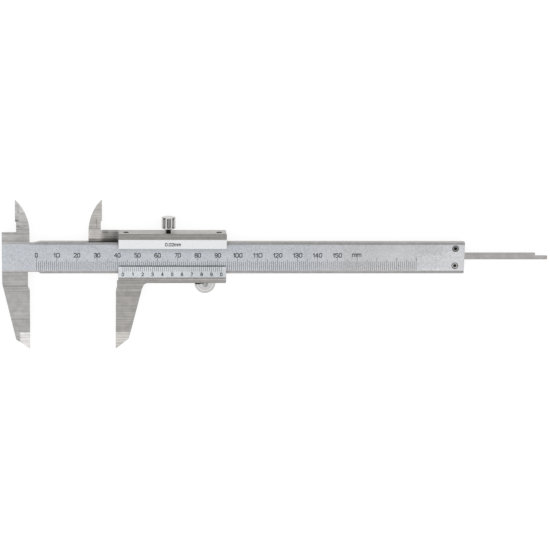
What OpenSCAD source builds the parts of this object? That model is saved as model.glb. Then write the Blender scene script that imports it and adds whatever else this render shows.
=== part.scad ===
// Vernier caliper for outside, inside and depth measurement, lying on its back.
// x runs along the beam from the head to the depth rod, y from the outside jaws to the inside jaws,
// z out of the scale face. The zero line, the beam's lower edge and the slider's back are the datums
// that the sizes count from; place() at the end moves the origin to the middle of the base.

/* [Beam] */
// Height of the beam between its two guide edges
beam_height = 16; // [15:0.1:18]
// Thickness of the beam
beam_thickness = 3.5; // [3.2:0.1:4.5]
// Length of the beam from the zero line to its plain end
beam_reach = 214.3; // [205:0.1:260]
// Width of the bevel along the scale face's upper border
upper_bevel = 1; // [0.5:0.1:1.5]
// Width of the bevel along the scale face's lower border
lower_bevel = 1.6; // [1:0.1:1.9]
// How far the bevels fall back from the scale face
bevel_depth = 0.35; // [0.2:0.05:0.5]

/* [Outside jaws] */
// Distance from each outside measuring face to the zero line of its scale
scale_inset = 3.35; // [2.5:0.05:4.5]
// Width of the head beside the fixed measuring face
head_width = 13.6; // [12.5:0.1:16]
// Depth of the outside jaws below the beam
jaw_reach = 39.7; // [36:0.1:44]
// How far the jaws' sides lie behind the scale face
jaw_step = 0.3; // [0.2:0.05:0.5]
// How far the fixed jaw is relieved next to the beam
fixed_relief = 0.9; // [0.5:0.1:1.2]
// How far the moving jaw is relieved next to the slider
moving_relief = 0.5; // [0.3:0.1:0.8]
// Height of the relieved stretch below the beam
relief_drop = 7.5; // [6.5:0.1:9]
// Height of the slope from the relief to the measuring face
relief_ramp = 1.9; // [1:0.1:2.5]
// Height of the head's straight side below the beam
head_drop = 5.2; // [4:0.1:7]
// Width of the fixed outside jaw where its end is cut off
end_width = 6.9; // [5.5:0.1:7.2]
// Width of the moving outside jaw where its end is cut off
moving_end_width = 6.5; // [5.5:0.1:7]
// Height of the outside jaws' slanting ends
end_rise = 5.4; // [3:0.1:5.8]
// Width of the moving jaw at the slider's lower edge
moving_root_width = 13.8; // [12.5:0.1:15]
// Radius between the moving jaw and the slider's lower edge
root_fillet = 2.6; // [1.5:0.1:4]
// Length of the thinned measuring ends of the outside jaws
thin_length = 9; // [7:0.1:11]
// Width of the thinned end of the fixed jaw
thin_width = 5.2; // [4.5:0.1:5.8]
// How far each side is ground away at the start of the thinned end
thin_start = 0.25; // [0.1:0.05:0.4]
// How far each side is ground away at the points
thin_depth = 1.1; // [0.6:0.05:1.3]

/* [Inside jaws] */
// Height of the head's shoulder above the beam
shoulder_rise = 4.8; // [4:0.1:4.8]
// Height of the inside jaws' points above the beam
inside_reach = 21.3; // [18:0.1:24]
// Width of the fixed inside jaw at its root
inside_width = 7.1; // [6:0.1:8]
// Width of the moving inside jaw at its root
moving_inside_width = 6.6; // [6:0.1:7.5]
// Width of the inside jaws' points
inside_point = 0.2; // [0.1:0.05:0.5]
// Length of the measuring edges of the inside jaws
inside_edge = 10.6; // [8:0.1:12]
// How far the inside jaws are relieved below their measuring edges
inside_relief = 0.55; // [0.3:0.05:0.8]
// Width of the ground bevel along the inside measuring edges
knife_width = 2.2; // [1.5:0.1:3]
// Width of the flat left on the inside measuring edges
knife_land = 0.3; // [0.2:0.05:0.5]
// Gap between the two inside jaws when they pass each other
pass_gap = 0.1; // [0.05:0.05:0.3]

/* [Slider] */
// Opening of the outside jaws as the caliper lies
opening = 42.8; // [20:0.2:100]
// Length of the slider
slider_length = 53.7; // [50:0.1:60]
// Distance from the moving measuring face to the slider's end
slider_inset = 1.1; // [0.7:0.1:2]
// Height of the lower rail below the beam
lower_rail = 4.4; // [4:0.1:5]
// Height of the upper rail's top above the beam
upper_rise = 5; // [4.8:0.1:6]
// Thickness of the slider's wall behind the beam
back_wall = 2.15; // [1.8:0.05:3]
// How far the slider's front stands above the scale face
front_rise = 1.9; // [1.6:0.05:2.4]
// Running gap between the slider and the beam
slide_gap = 0.05; // [0.02:0.01:0.1]
// Thickness of the gib strip
gib_thickness = 0.8; // [0.6:0.05:1]
// Gap between the beam and the arm of the moving inside jaw
arm_gap = 0.2; // [0.1:0.05:0.5]
// Radius of the slider's outer corners
corner_radius = 0.6; // [0.3:0.1:1]

/* [Plates] */
// Overlap of the retainer strip and the cover plate over the beam
cover_overlap = 2.7; // [2:0.1:3.5]
// Height of the cover plate
cover_height = 4.6; // [4.3:0.1:5.2]
// Thickness of the white cover plate
cover_thickness = 0.8; // [0.5:0.05:1]
// How far the cover plate stands above the slider's front
cover_proud = 0.2; // [0.1:0.05:0.4]
// Height of the vernier plate above the beam's lower edge
vernier_overlap = 3.7; // [3.2:0.1:4.2]
// Seat of the vernier plate on the lower rail
vernier_seat = 1.6; // [1.4:0.1:2]
// Thickness of the vernier plate's upper edge
vernier_edge = 0.3; // [0.2:0.05:0.5]
// Diameter of the vernier plate's dowels
dowel_diameter = 0.9; // [0.6:0.1:1]

/* [Graduations] */
// Last line of the main scale, in divisions
scale_end = 200; // [160:10:200]
// Width of the engraved lines
line_width = 0.15; // [0.1:0.01:0.2]
// Depth of the engraved lines
line_depth = 0.06; // [0.04:0.01:0.1]
// Length of the shortest main lines
short_line = 4.6; // [4:0.1:5]
// Length of the main lines at every fifth division
middle_line = 5.6; // [5.2:0.1:6]
// Length of the main lines at every tenth division
long_line = 6.8; // [6.4:0.1:7.5]
// Length of the shortest vernier lines
vernier_line = 2.4; // [2:0.1:2.8]
// Added length of the numbered vernier lines
vernier_line_extra = 0.7; // [0.3:0.1:1]

/* [Lock screw] */
// Diameter of the lock screw's stud
stud_diameter = 2.5; // [2:0.1:3]
// Diameter of the fluted knob
knob_diameter = 7.3; // [6.5:0.1:9]
// Height of the knob
knob_height = 5.7; // [5:0.1:7]
// Height of the knob above the slider
knob_lift = 2.1; // [1.5:0.1:4]
// Number of flutes round the knob
flute_count = 8; // [6:1:9]
// Diameter of the flutes
flute_diameter = 1.9; // [1:0.1:2]
// Place of the lock screw along the slider
lock_place = 24.8; // [20:0.1:30]
// Distance of the screws in the top edge behind the scale face
screw_line = 0.9; // [0.8:0.1:2]
// Diameter of the gib screws
gib_screw_diameter = 2.8; // [2:0.1:3]
// Distance of the gib screws from the slider's ends
gib_screw_inset = 3.7; // [3:0.1:6]

/* [Thumb roller] */
// Diameter of the thumb roller
roller_diameter = 10.4; // [10:0.1:12]
// Thickness of the thumb roller
roller_thickness = 2.2; // [1.8:0.1:2.4]
// Distance of the roller's front behind the scale face
roller_setback = 0.8; // [0.7:0.1:1.1]
// Distance of the roller's axle from the slider's far end
roller_inset = 10.4; // [9.5:0.05:14]
// Diameter of the axle
axle_diameter = 1.8; // [1.4:0.1:2.2]
// Number of grooves in the roller's rim
knurl_count = 40; // [24:1:48]
// Thickness of the spring arm
arm_thickness = 0.9; // [0.6:0.1:1]

/* [Depth rod] */
// Width of the depth rod
rod_width = 3.2; // [3:0.1:4]
// Thickness of the depth rod
rod_thickness = 1.6; // [1.2:0.1:1.7]
// Length of the rod's cut-away tip
rod_tip_length = 6.3; // [4:0.1:8]
// Width left at the rod's tip
rod_tip_width = 1.75; // [1.2:0.05:2.4]
// Length of the rod's foot in the slider
rod_foot = 14; // [10:0.5:18]
// Distance of the rod's end from the slider's near end
rod_inset = 18; // [12:0.5:20]
// Distance of the rod's middle above the beam's middle
rod_rise = 0.5; // [0:0.1:1]
// How far the rod's tip lies inside the beam's end when the jaws are shut
rod_recess = 0.2; // [0:0.05:0.5]
// Gap round the rod in its groove
rod_gap = 0.15; // [0.1:0.05:0.3]

/* [End stop] */
// Length of the end stop plate
stop_length = 9.2; // [8:0.1:12]
// Thickness of the end stop plate
stop_thickness = 1.5; // [1:0.1:1.8]
// Distance of the plate's edges inside the beam's edges
stop_margin = 1.2; // [0.8:0.1:1.4]
// Distance of the end screws from the beam's edges, taken about the depth rod's middle
end_screw_margin = 3.55; // [3.3:0.05:3.8]
// Distance of the end screws from the beam's end
end_screw_inset = 4.7; // [3:0.1:6]
// Diameter of the end screws' heads
end_head_diameter = 3.3; // [2.8:0.1:3.4]
// Diameter of the end screws' shanks
end_shank_diameter = 1.9; // [1.5:0.1:2]

/* [Hidden] */

$fn = 48;
// One overrun for every cut, and the gap round pins and plates that are fixed in their seats
over = 1;
seat_gap = 0.03;
running_gap = 0.05;

// Levels along z, from the slider's back to its front
beam_back_z = back_wall + slide_gap;
scale_z = beam_back_z + beam_thickness;
jaw_back_z = beam_back_z;
jaw_front_z = scale_z - jaw_step;
parting_z = (jaw_back_z + jaw_front_z) / 2;
front_z = scale_z + front_rise;
screw_z = scale_z - screw_line;

// Places along x: the measuring faces, the inside edges and the slider's ends
fixed_face_x = -scale_inset;
head_x = fixed_face_x - head_width;
moving_face_x = fixed_face_x + opening;
fixed_inside_x = fixed_face_x - inside_width;
moving_inside_x = fixed_inside_x + opening;
slider_x = moving_face_x + slider_inset;
slider_end_x = slider_x + slider_length;
rod_tip_x = beam_reach + opening - rod_recess;

// Heights along y
slider_top_y = beam_height + upper_rise;
shoulder_y = beam_height + shoulder_rise;
point_y = beam_height + inside_reach;
gib_y = beam_height + slide_gap;
rail_y = gib_y + gib_thickness;
rod_y = beam_height / 2 + rod_rise;

// Relief of the beam's two edges beside the head: how deep it is, and where its slope starts and ends
neck_top = 0.87;
neck_bottom = 0.83;
neck_flat = 1.7;
neck_ramp_end = 2.2;
neck_bottom_flat = 0.75;

// A flat plate between two levels
module plate_between(z_low, z_high) {
    translate([0, 0, z_low])
        linear_extrude(z_high - z_low)
            children();
}

// A straight bar between two corners
module bar_between(low, high) {
    translate(low)
        cube(high - low);
}

// A round bar along y
module pin_y(x, y, z, length, diameter) {
    translate([x, y, z])
        rotate([-90, 0, 0])
            cylinder(d = diameter, h = length);
}

// A screw in the top edge: slim from its point to step_y, so that it passes behind the retainer
// strip, and full from there to top_y
module top_screw(x, point_y, step_y, top_y, diameter, gap) {
    slim = diameter * slim_share;
    pin_y(x, point_y, screw_z, step_y - point_y + slim, slim + 2 * gap);
    pin_y(x, step_y, screw_z, top_y - step_y, diameter + 2 * gap);
}

// A profile drawn in y and z, drawn out along x
module rail_between(x_low, x_high) {
    translate([x_low, 0, 0])
        rotate([90, 0, 90])
            linear_extrude(x_high - x_low)
                children();
}

// Cross-section of the beam, with a bevel along both borders of the scale face
module beam_profile() {
    polygon([
        [0, beam_back_z],
        [beam_height, beam_back_z],
        [beam_height, scale_z - bevel_depth],
        [beam_height - upper_bevel, scale_z],
        [lower_bevel, scale_z],
        [0, scale_z - bevel_depth]
    ]);
}

// Metal taken off the beam's edges beside the head, so that the slider's mouth clears the corner
module neck_cuts() {
    polygon([
        [fixed_face_x, beam_height + over],
        [fixed_face_x, beam_height - neck_top],
        [-neck_flat, beam_height - neck_top],
        [neck_ramp_end, beam_height],
        [neck_ramp_end, beam_height + over]
    ]);
    polygon([
        [fixed_face_x - fixed_relief, -over],
        [fixed_face_x - fixed_relief, neck_bottom],
        [neck_bottom_flat, neck_bottom],
        [neck_ramp_end, 0],
        [neck_ramp_end, -over]
    ]);
}

// Outside jaw: measuring face on x = 0, metal towards -x, top at the given height
module outside_jaw(root_y, root_width, straight_y, relief, end_width, end_rise) {
    polygon([
        [-relief, root_y],
        [-relief, -relief_drop],
        [0, -relief_drop - relief_ramp],
        [0, -jaw_reach],
        [-end_width, end_rise - jaw_reach],
        [-root_width, straight_y],
        [-root_width, root_y]
    ]);
}

// Inside jaw: measuring edge on x = 0, metal towards +x, its back an arc that starts at the root
function back_radius(width) =
    let (w = width - inside_point, h = point_y - shoulder_y)
    (w * w + h * h) / (2 * w);

module inside_jaw(root_y, width) {
    radius = back_radius(width);
    relief_y = point_y - inside_edge;
    difference() {
        intersection() {
            translate([0, root_y])
                square([width, point_y - root_y]);
            union() {
                translate([width - radius, shoulder_y])
                    circle(r = radius, $fn = 180);
                translate([0, root_y])
                    square([width, shoulder_y - root_y]);
            }
        }
        polygon([
            [-over, root_y],
            [inside_relief, root_y],
            [inside_relief, relief_y - inside_relief],
            [0, relief_y],
            [-over, relief_y]
        ]);
    }
}

// Wedge that grinds one side of an inside jaw down to its measuring edge
module knife_grind(depth) {
    rotate([90, 0, 0])
        translate([0, 0, -point_y - over])
            linear_extrude(inside_edge + over)
                polygon([
                    [-over, knife_land],
                    [0, knife_land],
                    [knife_width, depth],
                    [knife_width, depth + over],
                    [-over, depth + over]
                ]);
}

// Wedges that thin both sides of an outside jaw towards its point
module thin_grind(width) {
    top_y = thin_length - jaw_reach;
    for (side = [0, 1]) {
        face = side == 0 ? jaw_front_z : jaw_back_z;
        out = side == 0 ? 1 : -1;
        rail_between(-width, over)
            polygon([
                [top_y, face + out * over],
                [top_y, face - out * thin_start],
                [-jaw_reach, face - out * thin_depth],
                [-jaw_reach - over, face - out * thin_depth],
                [-jaw_reach - over, face + out * over]
            ]);
    }
}

// The head: the fixed outside jaw, the square block behind the beam and the fixed inside jaw
module head_plate() {
    plate_between(jaw_back_z, jaw_front_z)
        difference() {
            union() {
                translate([fixed_face_x, 0])
                    outside_jaw(neck_bottom, head_width, -head_drop, fixed_relief,
                        end_width, end_rise);
                translate([head_x, 0])
                    square([head_width, beam_height]);
            }
            neck_cuts();
        }
    plate_between(parting_z + pass_gap / 2, jaw_front_z)
        union() {
            translate([head_x, beam_height / 2])
                square([head_width, shoulder_y - beam_height / 2]);
            translate([fixed_inside_x, 0])
                inside_jaw(beam_height, inside_width);
        }
}

// One engraved line of the main scale
module division_line(x, from_y, length) {
    bar_between([x - line_width / 2, from_y, scale_z - line_depth],
        [x + line_width / 2, from_y + length, scale_z + over]);
}

module main_scale() {
    for (mark = [0 : scale_end])
        division_line(mark, lower_bevel,
            mark % 10 == 0 ? long_line : mark % 5 == 0 ? middle_line : short_line);
}

// Groove in the beam's back for the depth rod, open at the beam's end
groove_x = slider_x + rod_inset - opening - rod_width;
groove_top_z = beam_back_z + rod_gap / 2 + rod_thickness + rod_gap;

module rod_groove() {
    groove_width = rod_width + 2 * rod_gap;
    plate_between(beam_back_z - over, groove_top_z) {
        translate([groove_x, rod_y])
            circle(d = groove_width);
        translate([groove_x, rod_y - groove_width / 2])
            square([beam_reach + over - groove_x, groove_width]);
    }
}

// The end screws: countersunk heads in the scale face, threads in the end stop plate
end_screw_x = beam_reach - end_screw_inset;
head_cone = (end_head_diameter - end_shank_diameter) / 2;
head_sink = 0.1;
socket_share = 0.4;
end_screw_spread = beam_height / 2 - end_screw_margin;
function end_screw_ys() = [rod_y - end_screw_spread, rod_y + end_screw_spread];

module end_screw_form(gap) {
    for (y = end_screw_ys())
        translate([end_screw_x, y, 0]) {
            translate([0, 0, beam_back_z - stop_thickness])
                cylinder(d = end_shank_diameter + 2 * gap, h = stop_thickness + beam_thickness);
            translate([0, 0, scale_z - head_sink - head_cone - gap])
                cylinder(d1 = end_shank_diameter + 2 * gap, d2 = end_head_diameter + 2 * gap,
                    h = head_cone);
            translate([0, 0, scale_z - head_sink - gap])
                cylinder(d = end_head_diameter + 2 * gap, h = head_sink + over);
        }
}

// The beam with its head is one piece
module main_beam() {
    color([0.76, 0.77, 0.78])
        difference() {
            union() {
                difference() {
                    rail_between(head_x, beam_reach)
                        beam_profile();
                    plate_between(beam_back_z - over, scale_z + over)
                        neck_cuts();
                }
                head_plate();
            }
            translate([fixed_inside_x, 0, parting_z + pass_gap / 2])
                knife_grind(jaw_front_z - parting_z - pass_gap / 2);
            translate([fixed_face_x, 0, 0])
                thin_grind(thin_width);
            rod_groove();
            end_screw_form(seat_gap);
            main_scale();
        }
}

module end_stop_plate() {
    color([0.66, 0.66, 0.65])
        difference() {
            bar_between([beam_reach - stop_length, stop_margin, beam_back_z - stop_thickness],
                [beam_reach, beam_height - stop_margin, beam_back_z]);
            end_screw_form(seat_gap);
        }
}

module end_stop_screws() {
    socket = end_head_diameter * socket_share;
    color([0.35, 0.35, 0.36])
        difference() {
            intersection() {
                end_screw_form(0);
                bar_between([end_screw_x - end_head_diameter, 0, 0],
                    [beam_reach, beam_height, scale_z - line_depth]);
            }
            for (y = end_screw_ys())
                translate([end_screw_x, y, scale_z - head_cone])
                    cylinder(d = socket, h = head_cone + over, $fn = 6);
        }
}

// Levels and edges of the slider and of what it carries
lip_z = scale_z + slide_gap;
retainer_z = front_z + cover_proud - cover_thickness;
cover_low_y = beam_height - cover_overlap;
cover_top_y = cover_low_y + cover_height;
arm_low_y = beam_height + arm_gap;
arm_front_z = parting_z - pass_gap / 2;
rail_chamfer = 0.4;
roller_x = slider_end_x - roller_inset;
roller_y = -roller_diameter / 2 - running_gap;
roller_front_z = scale_z - roller_setback;
roller_back_z = roller_front_z - roller_thickness;
slim_share = 0.55;
slim_clear = 0.25;
screw_step_y = cover_top_y + seat_gap + slim_clear;

// Cross-section of the slider: back wall, lower rail with the vernier's seat, upper rail with the
// seat of the retainer strip and the cover plate
module slider_profile() {
    polygon([
        [-lower_rail, 0],
        [slider_top_y, 0],
        [slider_top_y, front_z],
        [cover_top_y + seat_gap, front_z],
        [cover_top_y + seat_gap, lip_z],
        [rail_y, lip_z],
        [rail_y, back_wall],
        [-slide_gap, back_wall],
        [-slide_gap, lip_z],
        [-vernier_seat - seat_gap, lip_z],
        [-vernier_seat - seat_gap, front_z - rail_chamfer],
        [-vernier_seat - seat_gap - rail_chamfer, front_z],
        [-lower_rail, front_z]
    ]);
}

// The thick part of the moving jaw ends in a step below the slider's lower edge
jaw_shelf_y = -lower_rail - root_fillet;
jaw_bite = lower_rail / 4;
moving_slope = (moving_root_width - moving_end_width) / (jaw_reach - lower_rail - end_rise);

// Outline of the moving outside jaw, with the corner free that the slider's inset leaves
module moving_jaw_outline() {
    translate([moving_face_x, 0])
        mirror([1, 0])
            difference() {
                outside_jaw(jaw_bite - lower_rail, moving_root_width, -lower_rail, moving_relief,
                    moving_end_width, end_rise);
                translate([-slider_inset, -lower_rail])
                    square([slider_inset + over, jaw_bite + over]);
            }
}

// Fillet between the jaw's slanting side and the slider's lower edge
module moving_jaw_fillet() {
    angle = atan(moving_slope);
    centre_x = moving_root_width + root_fillet * tan(45 - angle / 2);
    low_y = -lower_rail - root_fillet * (1 - sin(angle));
    translate([moving_face_x, 0])
        difference() {
            translate([moving_end_width, low_y])
                square([centre_x - moving_end_width, jaw_bite - lower_rail - low_y]);
            translate([centre_x, -lower_rail - root_fillet])
                circle(r = root_fillet);
        }
}

module moving_jaw() {
    difference() {
        union() {
            plate_between(jaw_back_z, jaw_front_z) {
                moving_jaw_outline();
                moving_jaw_fillet();
            }
            plate_between(jaw_back_z, front_z)
                intersection() {
                    union() {
                        moving_jaw_outline();
                        moving_jaw_fillet();
                    }
                    translate([moving_face_x, jaw_shelf_y])
                        square([slider_length, root_fillet + jaw_bite]);
                }
        }
        translate([moving_face_x, 0, 0])
            mirror([1, 0, 0])
                thin_grind(moving_root_width);
    }
}

// Inside jaw on its arm, ground from the back
module moving_inside_jaw() {
    translate([moving_inside_x, 0, 0]) {
        difference() {
            plate_between(jaw_back_z, arm_front_z)
                mirror([1, 0])
                    inside_jaw(arm_low_y, moving_inside_width);
            translate([0, 0, arm_front_z])
                mirror([0, 0, 1])
                    mirror([1, 0, 0])
                        knife_grind(arm_front_z - jaw_back_z);
        }
    }
    bar_between([moving_inside_x - moving_inside_width, arm_low_y, 0],
        [slider_x, slider_top_y, arm_front_z]);
    bar_between([slider_x - over, rail_y, 0],
        [slider_x + over, slider_top_y, arm_front_z]);
}

// Pins through the retainer strip into the upper rail
retainer_pin = 1;
retainer_shares = [0.2, 0.66, 0.82];
retainer_pin_y = (rail_y + cover_top_y) / 2;

module retainer_pin_form(gap) {
    for (share = retainer_shares)
        translate([slider_x + slider_length * share, retainer_pin_y, lip_z / 2])
            cylinder(d = retainer_pin + 2 * gap, h = retainer_z - lip_z / 2);
}

// Pocket in the back wall for the rod's foot
foot_depth = back_wall / 2;
rod_x = slider_x + rod_inset;
rod_z = beam_back_z + rod_gap / 2;

module rod_foot_form(gap) {
    bar_between([rod_x - gap, rod_y - rod_width / 2 - gap, back_wall - foot_depth - gap],
        [rod_x + rod_foot + gap, rod_y + rod_width / 2 + gap, rod_z]);
}

// Rivets that hold the rod's foot, seen on the slider's back
rivet_diameter = 1.6;
rivet_shares = [0.25, 0.75];
rivet_sink = 0.1;

module rivet_form(gap) {
    for (share = rivet_shares)
        translate([rod_x + rod_foot * share, rod_y, rivet_sink])
            cylinder(d = rivet_diameter + 2 * gap, h = rod_z + rod_thickness / 2 - rivet_sink);
}

// Roller, its axle and its spring arm behind the lower rail
arm_z = rivet_sink;
arm_top_z = arm_z + arm_thickness;
arm_leaf = 2.4;
arm_ear = 4.4;
arm_reach = 16;
arm_screw_spacing = 5;
arm_screw_diameter = 1.6;
arm_slot_width = 0.35;
arm_slot_depth = 0.4;
arm_middle_y = arm_leaf - lower_rail;
recess_gap = 0.3;
axle_head = 2.7;
axle_head_height = 0.4;
arm_screw_x = roller_x - arm_reach;
function arm_screw_xs() = [arm_screw_x, arm_screw_x + arm_screw_spacing];

module arm_outline(gap) {
    translate([arm_screw_x, arm_middle_y])
        circle(d = arm_leaf + 2 * gap);
    translate([arm_screw_x, arm_middle_y - arm_leaf / 2 - gap])
        square([roller_x - arm_screw_x, arm_leaf + 2 * gap]);
    translate([roller_x - arm_ear / 2 - gap, roller_y])
        square([arm_ear + 2 * gap, arm_middle_y + arm_leaf / 2 + gap - roller_y]);
    translate([roller_x, roller_y])
        circle(d = arm_ear + 2 * gap);
}

// Recess for the arm in the back, slot for the roller in the lower rail
module roller_pocket() {
    plate_between(-over, arm_top_z + recess_gap)
        arm_outline(recess_gap);
    translate([roller_x, roller_y, 0]) {
        plate_between(roller_back_z - recess_gap, roller_front_z + axle_head_height + recess_gap)
            circle(d = roller_diameter + 2 * recess_gap);
        plate_between(0, roller_back_z)
            circle(d = axle_head + 2 * recess_gap);
    }
}

// Rounded outer corners of the slider's far end
module end_corners() {
    module corner(y, up) {
        translate([slider_end_x - corner_radius, y, 0])
            mirror([0, up ? 0 : 1, 0])
                translate([0, -corner_radius, -over])
                    linear_extrude(front_z + 2 * over)
                        difference() {
                            square(corner_radius + over);
                            circle(r = corner_radius);
                        }
    }
    corner(slider_top_y, true);
    corner(-lower_rail, false);
}

module slider_body() {
    difference() {
        rail_between(slider_x, slider_end_x)
            slider_profile();
        end_corners();
    }
    moving_jaw();
    moving_inside_jaw();
}

module slider_frame() {
    color([0.69, 0.68, 0.66])
        difference() {
            slider_body();
            top_screw(slider_x + lock_place, rail_y - over, screw_step_y, slider_top_y + over,
                stud_diameter, running_gap);
            gib_screw_hole(gib_left_x);
            gib_screw_hole(gib_right_x);
            retainer_pin_form(seat_gap);
            vernier_dowel_form(seat_gap);
            rod_foot_form(seat_gap);
            rivet_form(seat_gap);
            roller_pocket();
            arm_screw_form(seat_gap);
        }
}

// Gib screws in the top edge, slotted
gib_left_x = slider_x + gib_screw_inset;
gib_right_x = slider_end_x - gib_screw_inset;
gib_screw_sink = 0.15;
slot_width = 0.5;
slot_depth = 0.7;

module gib_screw_hole(x) {
    top_screw(x, rail_y - over, screw_step_y, slider_top_y + over, gib_screw_diameter, seat_gap);
}

module gib_screw(x) {
    color([0.55, 0.54, 0.52])
        difference() {
            top_screw(x, rail_y, screw_step_y + seat_gap, slider_top_y - gib_screw_sink,
                gib_screw_diameter, 0);
            translate([x - gib_screw_diameter, slider_top_y - gib_screw_sink - slot_depth,
                screw_z - slot_width / 2])
                cube([2 * gib_screw_diameter, slot_depth + over, slot_width]);
        }
}

module gib_screw_left() {
    gib_screw(gib_left_x);
}

module gib_screw_right() {
    gib_screw(gib_right_x);
}

module gib_strip() {
    color([0.78, 0.66, 0.4])
        bar_between([slider_x + seat_gap, gib_y, beam_back_z],
            [slider_end_x - seat_gap, rail_y, scale_z]);
}

module retainer_strip() {
    color([0.6, 0.6, 0.6])
        difference() {
            bar_between([slider_x, cover_low_y, lip_z],
                [slider_end_x, cover_top_y, retainer_z]);
            retainer_pin_form(seat_gap);
        }
}

module retainer_pins() {
    color([0.4, 0.4, 0.4])
        retainer_pin_form(0);
}

module cover_plate() {
    color([0.93, 0.93, 0.94])
        bar_between([slider_x, cover_low_y, retainer_z],
            [slider_end_x, cover_top_y, retainer_z + cover_thickness]);
}

// Vernier plate: a wedge from the slider's front down to a thin edge over the beam
dowel_shares = [0.2, 0.6];
dowel_height = 1.6;
vernier_slope = (front_rise - slide_gap - vernier_edge) / (vernier_overlap + vernier_seat);

module vernier_dowel_form(gap) {
    for (share = dowel_shares)
        translate([slider_x + slider_length * share, -vernier_seat / 2,
            lip_z - dowel_height / 2 - gap])
            cylinder(d = dowel_diameter + 2 * gap, h = dowel_height + 2 * gap);
}

module vernier_profile() {
    polygon([
        [-vernier_seat, lip_z],
        [vernier_overlap, lip_z],
        [vernier_overlap, lip_z + vernier_edge],
        [-vernier_seat, front_z]
    ]);
}

// Fifty divisions share the length of forty-nine of the main scale's
vernier_count = 50;
vernier_pitch = (vernier_count - 1) / vernier_count;
vernier_zero_x = moving_face_x + scale_inset;

module vernier_scale() {
    tilt = atan(vernier_slope);
    for (mark = [0 : vernier_count]) {
        long = mark % 5 == 0;
        length = vernier_line + (long ? vernier_line_extra : 0);
        translate([vernier_zero_x + mark * vernier_pitch - line_width / 2, vernier_overlap,
            lip_z + vernier_edge])
            rotate([-tilt, 0, 0])
                translate([0, -length, -line_depth])
                    cube([line_width, length + over, over]);
    }
}

module vernier_plate() {
    color([0.85, 0.86, 0.87])
        difference() {
            rail_between(slider_x, slider_end_x)
                vernier_profile();
            vernier_scale();
            vernier_dowel_form(seat_gap);
        }
}

module vernier_dowels() {
    color([0.5, 0.5, 0.5])
        vernier_dowel_form(0);
}

// Depth rod with its foot in the slider and its tip cut away along one side
module depth_rod() {
    color([0.68, 0.66, 0.64])
        difference() {
            union() {
                bar_between([rod_x, rod_y - rod_width / 2, rod_z],
                    [rod_tip_x, rod_y + rod_width / 2, rod_z + rod_thickness]);
                rod_foot_form(0);
            }
            bar_between([rod_tip_x - rod_tip_length, rod_y - rod_width / 2 + rod_tip_width,
                rod_z - over], [rod_tip_x + over, rod_y + rod_width, rod_z + rod_thickness + over]);
            rivet_form(seat_gap);
        }
}

module depth_rod_rivets() {
    color([0.55, 0.55, 0.55])
        rivet_form(0);
}

module arm_screw_form(gap) {
    for (x = arm_screw_xs())
        translate([x, arm_middle_y, arm_z - gap])
            cylinder(d = arm_screw_diameter + 2 * gap, h = roller_back_z + gap);
}

module roller_arm() {
    color([0.6, 0.6, 0.58])
        difference() {
            plate_between(arm_z, arm_top_z)
                arm_outline(0);
            arm_screw_form(seat_gap);
            translate([roller_x, roller_y, 0])
                cylinder(d = axle_diameter + 2 * seat_gap, h = roller_front_z);
        }
}

module roller_arm_screws() {
    color([0.4, 0.4, 0.4])
        difference() {
            arm_screw_form(0);
            for (x = arm_screw_xs())
                translate([x - arm_screw_diameter, arm_middle_y - arm_slot_width / 2, arm_z - over])
                    cube([2 * arm_screw_diameter, arm_slot_width, over + arm_slot_depth]);
        }
}

module roller_axle() {
    color([0.6, 0.6, 0.6])
        translate([roller_x, roller_y, 0]) {
            translate([0, 0, arm_z])
                cylinder(d = axle_diameter, h = roller_front_z + running_gap - arm_z);
            translate([0, 0, roller_front_z + running_gap])
                cylinder(d = axle_head, h = axle_head_height);
        }
}

module roller_washer() {
    color([0.7, 0.7, 0.7])
        translate([roller_x, roller_y, arm_top_z])
            difference() {
                cylinder(d = axle_head, h = roller_back_z - running_gap - arm_top_z);
                translate([0, 0, -over])
                    cylinder(d = axle_diameter + 2 * seat_gap, h = roller_back_z + 2 * over);
            }
}

// Roller with fine grooves across its rim
knurl_depth = 0.12;
rim_chamfer = 0.3;

module thumb_roller() {
    radius = roller_diameter / 2;
    color([0.82, 0.82, 0.81])
        translate([roller_x, roller_y, roller_back_z])
            difference() {
                union() {
                    cylinder(r1 = radius - rim_chamfer, r2 = radius, h = rim_chamfer);
                    translate([0, 0, rim_chamfer])
                        cylinder(r = radius, h = roller_thickness - 2 * rim_chamfer);
                    translate([0, 0, roller_thickness - rim_chamfer])
                        cylinder(r1 = radius, r2 = radius - rim_chamfer, h = rim_chamfer);
                }
                translate([0, 0, -over])
                    cylinder(d = axle_diameter + 2 * running_gap, h = roller_thickness + 2 * over);
                for (tooth = [0 : knurl_count - 1])
                    rotate([0, 0, 360 * (tooth + 0.5) / knurl_count])
                        translate([radius, 0, -over])
                            rotate([0, 0, 45])
                                translate([-knurl_depth / 2, -knurl_depth / 2, 0])
                                    cube([knurl_depth, knurl_depth, roller_thickness + 2 * over]);
            }
}

// Lock screw: a stud that presses on the gib strip, and its fluted knob
stud_clear = 0.3;
stud_in_knob = 0.7;

module lock_stud() {
    low_y = rail_y + stud_clear;
    top_y = slider_top_y + knob_lift + knob_height * stud_in_knob;
    color([0.12, 0.12, 0.12])
        top_screw(slider_x + lock_place, low_y, screw_step_y + stud_clear, top_y, stud_diameter, 0);
}

knob_chamfer = 0.6;

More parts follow.
